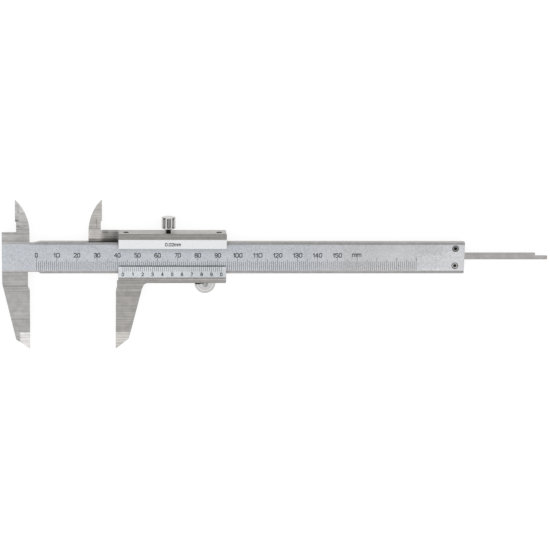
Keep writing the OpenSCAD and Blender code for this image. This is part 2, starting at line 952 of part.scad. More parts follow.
module lock_knob() {
    radius = knob_diameter / 2;
    color([0.8, 0.8, 0.8])
        translate([slider_x + lock_place, slider_top_y + knob_lift, screw_z])
            rotate([-90, 0, 0])
                difference() {
                    union() {
                        cylinder(r1 = radius - knob_chamfer, r2 = radius, h = knob_chamfer);
                        translate([0, 0, knob_chamfer])
                            cylinder(r = radius, h = knob_height - 2 * knob_chamfer);
                        translate([0, 0, knob_height - knob_chamfer])
                            cylinder(r1 = radius, r2 = radius - knob_chamfer, h = knob_chamfer);
                    }
                    translate([0, 0, -over])
                        cylinder(d = stud_diameter + 2 * seat_gap,
                            h = over + knob_height * stud_in_knob);
                    for (flute = [0 : flute_count - 1])
                        rotate([0, 0, 360 * flute / flute_count])
                            translate([radius, 0, -over])
                                cylinder(d = flute_diameter, h = knob_height + 2 * over);
                }
}

// Moves the origin to the middle of the whole caliper's base
module place() {
    translate([-(head_x + rod_tip_x) / 2, (jaw_reach - point_y) / 2, 0])
        children();
}

place() main_beam();
place() end_stop_plate();
place() end_stop_screws();
place() slider_frame();
place() retainer_strip();
place() retainer_pins();
place() cover_plate();
place() vernier_plate();
place() vernier_dowels();
place() gib_strip();
place() gib_screw_left();
place() gib_screw_right();
place() depth_rod();
place() depth_rod_rivets();
place() roller_arm();
place() roller_arm_screws();
place() roller_axle();
place() roller_washer();
place() thumb_roller();
place() lock_stud();
place() lock_knob();
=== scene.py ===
"""Looks of a vernier caliper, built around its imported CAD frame.

The camera, the light and every piece share the CAD frame: metres, x along the beam, y towards the
inside jaws, z out of the scale face, with the caliper lying on its back on z = 0.
"""

import logging
import math
from dataclasses import dataclass, field
from enum import Enum
from typing import Callable, Iterable

import bmesh
import bpy
from mathutils import Matrix, Vector


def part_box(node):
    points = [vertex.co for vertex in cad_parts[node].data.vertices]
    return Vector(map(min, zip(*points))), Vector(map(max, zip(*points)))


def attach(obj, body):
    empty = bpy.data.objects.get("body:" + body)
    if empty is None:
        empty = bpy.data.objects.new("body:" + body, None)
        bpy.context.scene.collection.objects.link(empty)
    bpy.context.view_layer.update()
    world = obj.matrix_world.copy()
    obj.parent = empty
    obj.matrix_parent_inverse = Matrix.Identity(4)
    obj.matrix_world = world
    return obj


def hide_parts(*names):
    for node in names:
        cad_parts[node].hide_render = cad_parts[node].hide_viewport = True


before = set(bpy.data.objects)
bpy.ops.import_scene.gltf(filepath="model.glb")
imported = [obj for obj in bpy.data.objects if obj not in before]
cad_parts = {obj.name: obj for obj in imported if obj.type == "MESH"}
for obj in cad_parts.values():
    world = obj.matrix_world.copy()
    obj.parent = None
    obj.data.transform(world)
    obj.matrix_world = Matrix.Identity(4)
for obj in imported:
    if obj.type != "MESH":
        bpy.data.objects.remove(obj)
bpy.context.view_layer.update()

MM = 0.001
LOG = logging.getLogger("caliper")

Material = bpy.types.Material
Mesh = bmesh.types.BMesh
Socket = bpy.types.NodeSocket
Object = bpy.types.Object
Pair = tuple[float, float]
Triple = tuple[float, float, float]
# Lower and upper bound, None where it is open
Bounds = tuple[float | None, float | None]
# Colour, roughness and height of a pattern
Layers = tuple[Socket, Socket, Socket]

# Datums of the drawing, in the frame's millimetres: the zero line, the beam's lower edge and the
# level of the scale face
ZERO_X = -119.975
EDGE_Y = 1.2
SCALE_Z = 5.7
# How far a flat stroke of enamel stands up, and the height of a finish's relief, in mm
ENAMEL = 0.02
RELIEF = 0.02
# The enamel in an engraved line ends below the face by its depth divided by this
SUNK_PART = 6
# Strength that each finer octave of a noise keeps, and rays that find corners and broken edges
OCTAVE_SHARE = 0.6
CORNER_RAYS = 8
EDGE_RAYS = 4
WHITE = (1.0, 1.0, 1.0, 1.0)

# Figures and letters as strokes, parted by semicolons: points in hundredths of the height, x from
# 0 to the letter's width, y from the foot up
GLYPHS = {
    "0": "15,0 0,16 0,84 15,100 45,100 60,84 60,16 45,0 15,0",
    "1": "0,76 22,100 22,0",
    "2": "0,80 14,100 46,100 60,84 60,62 0,0 60,0",
    "3": "0,86 14,100 46,100 60,86 60,66 44,54 20,54; 44,54 60,40 60,14 46,0 14,0 0,14",
    "4": "46,0 46,100 0,30 62,30",
    "5": "56,100 6,100 3,58 42,62 60,46 60,16 44,0 14,0 0,13",
    "6": "56,88 42,100 16,100 0,82 0,16 15,0 45,0 60,16 60,42 45,56 15,56 0,42",
    "7": "0,100 60,100 20,0",
    "8": "15,54 2,68 2,86 16,100 44,100 58,86 58,68 45,54 15,54 0,40 0,14 15,0 45,0 60,14 60,40 "
         "45,54",
    "9": "4,12 18,0 44,0 60,18 60,84 45,100 15,100 0,84 0,58 15,44 45,44 60,58",
    "m": "0,0 0,74; 0,60 14,74 32,74 42,62 42,0; 42,62 56,74 74,74 84,62 84,0",
    ".": "0,0 6,0",
}
# Space between two letters, as a share of their height
GLYPH_GAP = 0.26


def linear(code: str) -> tuple[float, float, float, float]:
    """Turn an sRGB hex colour into the linear colour that a shader takes.

    Args:
        code: Colour such as "#C8CACC".

    Returns:
        Linear red, green, blue and an alpha of 1.
    """
    def channel(value: int) -> float:
        """Linear value of one 8-bit channel."""
        share = value / 255
        return share / 12.92 if share <= 0.04045 else ((share + 0.055) / 1.055) ** 2.4

    digits = code.lstrip("#")
    red, green, blue = (channel(int(digits[i:i + 2], 16)) for i in (0, 2, 4))
    return red, green, blue, 1.0


def per_metre(size_mm: float) -> float:
    """Texture frequency, in periods a metre, of a pattern whose features are that many mm apart."""
    return 1 / (size_mm * MM)


def spot(x: float, y: float, z: float) -> Vector:
    """Place in the frame's metres of a point given in the drawing's mm."""
    return Vector((ZERO_X + x, EDGE_Y + y, z)) * MM


def add_object(name: str, data: bpy.types.ID) -> Object:
    """Object made of a mesh, camera or light, linked into the scene."""
    made = bpy.data.objects.new(name, data)
    bpy.context.scene.collection.objects.link(made)
    return made


class Grain(Enum):
    """Direction in which a surface was ground or drawn, as scale factors of its pattern."""

    ALONG_X = (0.006, 1.0, 1.0)
    NONE = (1.0, 1.0, 1.0)


class Nodes:
    """Node tree under construction, with the object's own coordinates in metres.

    Args:
        owner: Material or world that gets the tree.
        output: Output of the texture coordinates that is used, or None for none.
    """

    def __init__(self, owner: Material | bpy.types.World, output: str | None = "Object") -> None:
        owner.use_nodes = True
        owner.node_tree.nodes.clear()
        self.tree = owner.node_tree
        self.place = self.add("TexCoord").outputs[output] if output else None

    def add(self, kind: str, inputs: dict | None = None, **settings: object) -> bpy.types.Node:
        """Add one shader node with its settings, values and links.

        Args:
            kind: Blender's node type without its ShaderNode prefix.
            inputs: Input name or index to a value, or to the output socket that feeds it.
            **settings: Properties of the node itself.

        Returns:
            The new node.
        """
        node = self.tree.nodes.new("ShaderNode" + kind)
        for name, value in settings.items():
            setattr(node, name, value)
        for key, value in (inputs or {}).items():
            socket = node.inputs[key]
            if isinstance(value, Socket):
                self.tree.links.new(value, socket)
            else:
                socket.default_value = value
        return node

    def height(self) -> Socket:
        """Height of a point, in metres."""
        return self.add("SeparateXYZ", {0: self.place}).outputs["Z"]

    def noise(self, size_mm: float, grain: Grain = Grain.NONE, detail: float = 2.0,
              shift: float = 0.0) -> Socket:
        """Add a noise pattern of a real size, drawn out along the grain.

        Args:
            size_mm: Spacing of the pattern across the grain.
            grain: Direction in which it is drawn out.
            detail: Octaves of finer noise.
            shift: Moves the pattern, so that two layers differ.

        Returns:
            Socket with values from 0 to 1.
        """
        scale = tuple(per_metre(size_mm) * share for share in grain.value)
        mapped = self.add("Mapping", {"Vector": self.place, "Scale": scale,
                                      "Location": (shift, shift, shift)}).outputs[0]
        return self.add("TexNoise", {"Vector": mapped, "Scale": 1.0, "Detail": detail,
                                     "Roughness": OCTAVE_SHARE}).outputs["Fac"]

    def ramp(self, factor: Socket, low: float, high: float, out_low: float = 0.0,
             out_high: float = 1.0) -> Socket:
        """Map a factor between two limits to another range, clamped.

        Args:
            factor: Value to map.
            low: Value that gives out_low.
            high: Value that gives out_high.
            out_low: Result at the low limit.
            out_high: Result at the high limit.

        Returns:
            Socket with the mapped value.
        """
        return self.add("MapRange", {"Value": factor, "From Min": low, "From Max": high,
                                     "To Min": out_low, "To Max": out_high}).outputs[0]

    def step(self, factor: Socket, at_mm: float, soft_mm: float, before: float = 0.0,
             after: float = 1.0) -> Socket:
        """Value that goes from one to another within soft_mm either side of a place in mm."""
        return self.ramp(factor, (at_mm - soft_mm) * MM, (at_mm + soft_mm) * MM, before, after)

    def blend(self, factor: Socket | float, first: object, second: object) -> Socket:
        """Mix two colours.

        Args:
            factor: Share of the second colour.
            first: Colour or socket at 0.
            second: Colour or socket at 1.

        Returns:
            Socket with the mixed colour.
        """
        return self.add("Mix", {0: factor, 6: first, 7: second}, data_type="RGBA").outputs[2]

    def times(self, first: object, second: object) -> Socket:
        """Product of two factors."""
        return self.add("Math", {0: first, 1: second}, operation="MULTIPLY").outputs[0]

    def vector(self, operation: str, first: Socket, second: object = None) -> Socket:
        """Result of a vector operation on one or two vectors."""
        inputs = {0: first} if second is None else {0: first, 1: second}
        return self.add("VectorMath", inputs, operation=operation).outputs[0]

    def toned(self, colour: Socket, factor: object) -> Socket:
        """Colour made brighter or darker by a factor."""
        return self.add("VectorMath", {0: colour, "Scale": factor}, operation="SCALE").outputs[0]

    def reach(self, centre: Vector, plane: Triple, spread: Vector | None = None) -> Socket:
        """Distance from an axis, or from the nearer of two that lie either side of a centre.

        Args:
            centre: Point on the axis in metres.
            plane: 1 for each direction that counts, 0 along the axis.
            spread: How far the two axes lie from the centre, in metres, or None.

        Returns:
            Socket of the distance in metres.
        """
        offset = self.vector("SUBTRACT", self.place, centre)
        if spread is not None:
            offset = self.vector("SUBTRACT", self.vector("ABSOLUTE", offset), spread)
        flat = self.vector("MULTIPLY", offset, plane)
        return self.add("VectorMath", {0: flat}, operation="LENGTH").outputs["Value"]


@dataclass(frozen=True)
class Patch:
    """Soft-edged box in the drawing's mm, inside which a surface is brighter, darker or tinted.

    A bound of None leaves that side of the box open.
    """

    tone: float
    x: Bounds = (None, None)
    y: Bounds = (None, None)
    z: Bounds = (None, None)
    soft: Triple = (0.05, 0.05, 0.03)
    tint: Triple = (1.0, 1.0, 1.0)

    def mask(self, nodes: Nodes) -> Socket:
        """Value that is 1 inside the box and fades to 0 across its soft edges."""
        axes = nodes.add("SeparateXYZ", {0: nodes.place}).outputs
        value = None
        for axis, bounds, start, soft in zip(axes, (self.x, self.y, self.z),
                                             (ZERO_X, EDGE_Y, 0.0), self.soft):
            for bound, ends in zip(bounds, ((0.0, 1.0), (1.0, 0.0))):
                if bound is None:
                    continue
                step = nodes.step(axis, start + bound, soft, *ends)
                value = step if value is None else nodes.times(value, step)
        return value


class Finish:
    """Shared steps of all finishes: shades, patches, a soft edge and the shader."""

    edge_radius_mm = 0.12
    name: str
    light: str
    dark: str
    roughness: float
    # Values of the pattern between which the shade runs, and how far the roughness follows it
    band: Pair = (0.35, 0.65)
    sheen: Pair = (-0.05, 0.07)
    sheen_band: Pair = (0.3, 0.7)
    patches: tuple[Patch, ...] = ()

    def material(self) -> Material:
        """Build the material, with the nodes that surface() adds."""
        material = bpy.data.materials.new(self.name)
        self.surface(Nodes(material))
        return material

    def surface(self, nodes: Nodes) -> None:
        """Add all nodes of the finish to its empty tree."""
        raise NotImplementedError

    def shades(self, nodes: Nodes, pattern: Socket) -> Socket:
        """Colour that runs from the dark to the light shade as a pattern rises."""
        return nodes.blend(nodes.ramp(pattern, *self.band), linear(self.dark), linear(self.light))

    def rough(self, nodes: Nodes, pattern: Socket) -> Socket:
        """Roughness that rises with a pattern."""
        return nodes.ramp(pattern, *self.sheen_band,
                          *(self.roughness + change for change in self.sheen))

    def patched(self, nodes: Nodes, colour: Socket) -> Socket:
        """Colour with this finish's patches applied."""
        for patch in self.patches:
            inside = (*(patch.tone * share for share in patch.tint), 1.0)
            factor = nodes.blend(patch.mask(nodes), WHITE, inside)
            colour = nodes.vector("MULTIPLY", colour, factor)
        return colour

    def edge(self, nodes: Nodes) -> Socket:
        """Normal that rounds sharp edges by the broken corner that real ground edges have."""
        return nodes.add("Bevel", {"Radius": self.edge_radius_mm * MM},
                         samples=EDGE_RAYS).outputs[0]

    def bumped(self, nodes: Nodes, height: Socket, strength: float) -> Socket:
        """Normal with a pattern's fine relief, over the rounded edges."""
        return nodes.add("Bump", {"Strength": strength, "Distance": RELIEF * MM,
                                  "Height": height, "Normal": self.edge(nodes)}).outputs[0]

    @staticmethod
    def close(nodes: Nodes, colour: object, roughness: object, metallic: float,
              normal: Socket | None) -> bpy.types.Node:
        """Add the shader and the output.

        Args:
            nodes: Node tree.
            colour: Base colour or its socket.
            roughness: Roughness or its socket.
            metallic: 1 for bare metal, 0 for paint.
            normal: Socket of the bumped normal, or None.

        Returns:
            The shader node.
        """
        inputs = {"Base Color": colour, "Roughness": roughness, "Metallic": metallic}
        if normal is not None:
            inputs["Normal"] = normal
        shader = nodes.add("BsdfPrincipled", inputs)
        nodes.add("OutputMaterial", {"Surface": shader.outputs[0]})
        return shader


class GrainedMetal(Finish):
    """Bare metal whose colour, sheen and relief follow one fine pattern."""

    bump: float

    def surface(self, nodes: Nodes) -> None:
        """Add the pattern and the shader."""
        colour, roughness, height = self.layers(nodes)
        self.close(nodes, colour, roughness, 1.0, self.bumped(nodes, height, self.bump))

    def layers(self, nodes: Nodes) -> Layers:
        """Add the pattern and return its colour, roughness and height."""
        raise NotImplementedError


@dataclass(frozen=True)
class GroundSteel(GrainedMetal):
    """Stainless steel, surface ground: fine parallel lines, a soft streaky sheen."""

    name: str = "ground_stainless_steel"
    light: str = "#B7B5B4"
    dark: str = "#9C9A99"
    roughness: float = 0.34
    # Grinding lines are 0.05 mm apart; drawn at 0.5 mm so that they show
    line_mm: float = 0.5
    grain: Grain = Grain.ALONG_X
    bump: float = 0.10
    # Share by which stains and wear, patches of some mm, darken the steel
    mottle: float = 0.16
    mottle_mm: float = 2.6
    # Share by which the deeper grinding scores darken it, and how far apart they lie
    score: float = 0.13
    score_mm: float = 1.9
    # Shifts that keep clouds and scores apart from the lines
    mottle_shift: float = 3.1
    score_shift: float = 3.9
    band: Pair = (0.36, 0.64)
    mottle_band: Pair = (0.35, 0.65)
    score_band: Pair = (0.56, 0.64)
    patches: tuple[Patch, ...] = ()

    def layers(self, nodes: Nodes) -> Layers:
        """Add streaks along the grain, clouds of wear and a few deeper scores."""
        lines = nodes.noise(self.line_mm, self.grain, detail=3.0)
        clouds = nodes.noise(self.mottle_mm, detail=3.0, shift=self.mottle_shift)
        streaks = self.shades(nodes, lines)
        veil = nodes.ramp(clouds, *self.mottle_band, 1.0 + self.mottle / 2, 1.0 - self.mottle / 2)
        scores = nodes.noise(self.score_mm, self.grain, shift=self.score_shift)
        worn = nodes.times(veil, nodes.ramp(scores, *self.score_band, 1.0, 1.0 - self.score))
        return self.patched(nodes, nodes.toned(streaks, worn)), self.rough(nodes, lines), lines


@dataclass(frozen=True)
class SatinChrome(GrainedMetal):
    """Hard chrome over a blasted face: matt, slightly blue, with a fine sparkle of grain."""

    name: str = "satin_hard_chrome"
    light: str = "#CBCED3"
    dark: str = "#B0B3B9"
    roughness: float = 0.42
    # The blast grain is 0.05 mm; drawn at 0.6 mm so that it shows
    grain_mm: float = 0.6
    cloud_mm: float = 14.0
    cloud_shift: float = 1.7
    cloud_band: Pair = (0.4, 0.65)
    # Share by which the clouds lift the face to its light shade
    cloud: float = 0.35
    sheen: Pair = (-0.04, 0.06)
    bump: float = 0.12
    patches: tuple[Patch, ...] = ()

    def layers(self, nodes: Nodes) -> Layers:
        """Add the blast grain and wide pale clouds."""
        speckle = nodes.noise(self.grain_mm)
        clouds = nodes.noise(self.cloud_mm, shift=self.cloud_shift)
        base = self.shades(nodes, speckle)
        veil = nodes.ramp(clouds, *self.cloud_band, 0.0, self.cloud)
        colour = self.patched(nodes, nodes.blend(veil, base, linear(self.light)))
        return colour, self.rough(nodes, speckle), speckle


@dataclass(frozen=True)
class BeamFinish(Finish):
    """One steel piece with two surfaces: satin chrome on the scale face, ground steel elsewhere."""

    name: str = "beam_satin_face_ground_sides"
    face: SatinChrome = SatinChrome()
    sides: GroundSteel = GroundSteel()
    # The chrome covers the flat face; bevels and sides below this level are ground
    band_z_mm: float = SCALE_Z - 0.03
    band_soft_mm: float = 0.01
    bump: float = 0.11
    # The shadow that pieces lying on the face throw round their edges
    shadow_mm: float = 4.0
    shadow_share: float = 0.55

    def surface(self, nodes: Nodes) -> None:
        """Add both surfaces, split by height, and the shadow round pieces on the face."""
        face, sides = self.face.layers(nodes), self.sides.layers(nodes)
        on_face = nodes.step(nodes.height(), self.band_z_mm, self.band_soft_mm)
        colour = nodes.blend(on_face, sides[0], face[0])
        open_ = nodes.add("AmbientOcclusion", {"Distance": self.shadow_mm * MM},
                          samples=CORNER_RAYS).outputs["AO"]
        colour = nodes.toned(colour, nodes.ramp(open_, 0.0, 1.0, 1.0 - self.shadow_share, 1.0))
        rough, bumps = (nodes.add("Mix", {0: on_face, 2: sides[i], 3: face[i]}).outputs[0]
                        for i in (1, 2))
        self.close(nodes, colour, rough, 1.0, self.bumped(nodes, bumps, self.bump))


@dataclass(frozen=True)
class TurnedPlate(Finish):
    """Steel, turned and nickel plated: bright, with faint rings left by the tool."""

    name: str = "bright_nickel_plate"
    light: str = "#DAD9D6"
    dark: str = "#BDBBB7"
    roughness: float = 0.2
    ring_mm: float = 0.5
    # A point on the axis in metres, and 1 for the two directions across it
    centre: Triple = (0.0, 0.0, 0.0)
    across: Triple = (1.0, 1.0, 0.0)
    # Where the plate gets painted shade: inside this radius and inside the patches
    tarnish_mm: float = 0.0
    tarnish_soft_mm: float = 0.2
    sheen: Pair = (-0.05, 0.08)
    patches: tuple[Patch, ...] = ()

    def surface(self, nodes: Nodes) -> None:
        """Add the rings, the painted shade and the shader."""
        radius = nodes.reach(Vector(self.centre), self.across)
        rings = nodes.add("TexNoise", {"W": radius, "Scale": per_metre(self.ring_mm),
                                       "Detail": 2.0}, noise_dimensions="1D").outputs["Fac"]
        colour = self.shades(nodes, rings)
        for patch in self.patches:
            deep = nodes.step(radius, self.tarnish_mm, self.tarnish_soft_mm, 1.0, 0.0)
            share = nodes.times(deep, patch.mask(nodes))
            colour = nodes.toned(colour, nodes.ramp(share, 0.0, 1.0, 1.0, patch.tone))
        self.close(nodes, colour, self.rough(nodes, rings), 1.0, self.edge(nodes))


@dataclass(frozen=True)
class Lacquer(Finish):
    """Stoved lacquer on sheet or steel: a smooth coat with a faint orange-peel."""

    name: str = "white_lacquer"
    light: str = "#F0F1F3"
    dark: str = "#E8E9EB"
    roughness: float = 0.4
    peel_mm: float = 0.8
    band: Pair = (0.3, 0.7)
    bump: float = 0.05
    coat: float = 0.2

    def surface(self, nodes: Nodes) -> None:
        """Add the peel and the shader with its coat."""
        peel = nodes.noise(self.peel_mm, detail=1.0)
        shader = self.close(nodes, self.shades(nodes, peel), self.roughness, 0.0,
                            self.bumped(nodes, peel, self.bump))
        shader.inputs["Coat Weight"].default_value = self.coat


@dataclass(frozen=True)
class BlackOxide(Finish):
    """Steel blackened in hot salts: near black, dull, with a little brown where it is thin."""

    name: str = "black_oxide_steel"
    light: str = "#34312F"
    dark: str = "#131211"
    roughness: float = 0.45
    metallic: float = 0.6
    spot_mm: float = 0.6
    band: Pair = (0.4, 0.75)

    def surface(self, nodes: Nodes) -> None:
        """Add the thin spots and the shader."""
        thin = nodes.noise(self.spot_mm)
        self.close(nodes, self.shades(nodes, thin), self.roughness, self.metallic,
                   self.edge(nodes))


@dataclass(frozen=True)
class ScrewHead(Finish):
    """Blackened screw head, worn grey on its flat ring, black in the socket and round the rim."""

    name: str = "worn_screw_head"
    light: str = "#9A9896"
    dark: str = "#1B1A19"
    roughness: float = 0.42
    metallic: float = 0.8
    spot_mm: float = 0.5
    # The middle between the two screws and each one's distance from it, in metres
    centre: Triple = (0.0, 0.0, 0.0)
    spread: Triple = (0.0, 0.0, 0.0)
    worn_from_mm: float = 0.85
    worn_to_mm: float = 1.35
    soft_mm: float = 0.12
    band: Pair = (0.3, 0.6)
    # Share of the wear in the ring's blackest spots
    least_worn: float = 0.4
    patches: tuple[Patch, ...] = ()

    def surface(self, nodes: Nodes) -> None:
        """Add the worn ring and the shader."""
        radius = nodes.reach(Vector(self.centre), (1.0, 1.0, 0.0), Vector(self.spread))
        inner = nodes.step(radius, self.worn_from_mm, self.soft_mm)
        outer = nodes.step(radius, self.worn_to_mm, self.soft_mm, 1.0, 0.0)
        uneven = nodes.ramp(nodes.noise(self.spot_mm), *self.band, self.least_worn, 1.0)
        worn = nodes.times(nodes.times(inner, outer), uneven)
        colour = self.patched(nodes, nodes.blend(worn, linear(self.dark), linear(self.light)))
        self.close(nodes, colour, self.roughness, self.metallic, self.edge(nodes))


@dataclass(frozen=True)
class ScaleInk(Finish):
    """Black enamel wiped into engraved lines and figures: dull, a little worn."""

    name: str = "scale_enamel"
    light: str = "#303033"
    dark: str = "#0F0F11"
    roughness: float = 0.7
    spot_mm: float = 0.4
    band: Pair = (0.4, 0.8)

    def surface(self, nodes: Nodes) -> None:
        """Add the wear and the shader."""
        wear = nodes.noise(self.spot_mm)
        self.close(nodes, self.shades(nodes, wear), self.roughness, 0.0, None)


def dress(node: str, finish: Finish) -> Object:
    """Give a CAD node a finish in all its material slots.

    Args:
        node: Name of the CAD node.
        finish: Finish to build and assign.

    Returns:
        The node's object.
    """
    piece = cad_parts[node]
    material = finish.material()
    if not piece.data.materials:
        piece.data.materials.append(material)
    for index in range(len(piece.material_slots)):
        piece.material_slots[index].material = material
    LOG.info("dressed %s in %s", node, finish.name)
    return piece


def new_piece(name: str, mesh: Mesh, material: Material, body: str,
              smooth: bool = False) -> Object:
    """Turn a bmesh into an object that rides on a CAD body.

    Args:
        name: Name of the piece.
        mesh: Finished mesh, in the frame's metres; it is freed.
        material: Material of the piece.
        body: CAD body that carries it.
        smooth: Whether its faces are shaded smooth.

    Returns:
        The new object.
    """
    data = bpy.data.meshes.new(name)
    bmesh.ops.recalc_face_normals(mesh, faces=mesh.faces)
    for face in mesh.faces:
        face.smooth = smooth
    mesh.to_mesh(data)
    mesh.free()
    piece = add_object(name, data)
    data.materials.append(material)
    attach(piece, body)
    LOG.info("built %s: %d faces on %s", name, len(data.polygons), body)
    return piece


def add_bar(mesh: Mesh, low: Vector, high: Vector, turn: Matrix | None = None) -> None:
    """Add a straight bar between two corners, then turn it.

    Args:
        mesh: Mesh that gets the bar.
        low: Lowest corner in metres.
        high: Highest corner in metres.
        turn: Matrix applied to the bar's points, or None.
    """
    corners = [Vector((x, y, z)) for x in (low.x, high.x) for y in (low.y, high.y)
               for z in (low.z, high.z)]
    points = [mesh.verts.new(turn @ corner if turn else corner) for corner in corners]
    for quad in ((0, 1, 3, 2), (4, 6, 7, 5), (0, 4, 5, 1), (2, 3, 7, 6), (0, 2, 6, 4),
                 (1, 5, 7, 3)):
        mesh.faces.new([points[i] for i in quad])


def strokes(letter: str) -> list[list[Pair]]:
    """Points of each stroke of a letter out of GLYPHS, as shares of its height."""
    return [[tuple(int(share) / 100 for share in point.split(",")) for point in line.split()]
            for line in GLYPHS[letter].split(";")]


def write(mesh: Mesh, words: str, place: Matrix, height: float, width: float,
          stroke: float) -> None:
    """Write figures as flat strokes, fitted to a height and a width in mm.

    Args:
        mesh: Mesh that gets the strokes.
        words: Figures and letters out of GLYPHS.
        place: Puts the middle of the words and their plane into the frame.
        height: Height of a figure.
        width: Width of the whole line.
        stroke: Width of a stroke.
    """
    lines = []
    start = 0.0
    for letter in words:
        glyph = strokes(letter)
        lines += [[(x + start, y) for x, y in line] for line in glyph]
        start += max(x for line in glyph for x, _ in line) + GLYPH_GAP
    wide = (width - stroke) * MM / (start - GLYPH_GAP)
    tall = (height - stroke) * MM
    middle = Vector(((width - stroke) * MM / 2, tall / 2, 0))
    half = stroke * MM / 2
    for line in lines:
        points = [Vector((x * wide, y * tall, 0)) - middle for x, y in line]
        for first, last in zip(points, points[1:]):
            way = last - first
            turn = Matrix.Rotation(math.atan2(way.y, way.x), 4, "Z")
            add_bar(mesh, Vector((-half, -half, 0)),
                    Vector((way.length + half, half, ENAMEL * MM)),
                    place @ Matrix.Translation(first) @ turn)


def lathe(mesh: Mesh, rows: Iterable[Pair], steps: int,
          place: Matrix, radius: Callable[[float, float, float], float] | None = None) -> None:
    """Turn a profile round the z axis of a place, with an optional pattern in its radius.

    Args:
        mesh: Mesh that gets the form.
        rows: Radius and height of each ring, in metres, from one end to the other.
        steps: Points in each ring.
        place: Matrix that puts the form into the frame.
        radius: Gives the patterned radius from radius, height and angle, or None.
    """
    rings = []
    for size, height in rows:
        ring = []
        for step in range(steps):
            angle = math.tau * step / steps
            reach = radius(size, height, angle) if radius else size
            ring.append(mesh.verts.new(place @ Vector((reach * math.cos(angle),
                                                       reach * math.sin(angle), height))))
        rings.append(ring)
    for lower, upper in zip(rings, rings[1:]):
        for step in range(steps):
            after = (step + 1) % steps
            mesh.faces.new((lower[step], lower[after], upper[after], upper[step]))
    mesh.faces.new(list(reversed(rings[0])))
    mesh.faces.new(rings[-1])


def corner(radius: float, end: float, size: float, parts: int,
           foot: bool) -> list[Pair]:
    """Rings of a rounded corner of a turned form, from its foot upwards.

    Args:
        radius: Radius of the form, in metres as all lengths here.
        end: Height of the end that the corner rounds off.
        size: Radius of the rounding.
        parts: Facets of the rounding.
        foot: Whether it is the lower end.

    Returns:
        Radius and height of each ring.
    """
    turns = [math.pi / 2 * part / parts for part in range(parts + 1)]
    inner = radius - size
    if foot:
        return [(inner + size * math.sin(a), end + size - size * math.cos(a)) for a in turns]
    return [(inner + size * math.cos(a), end - size + size * math.sin(a)) for a in turns]


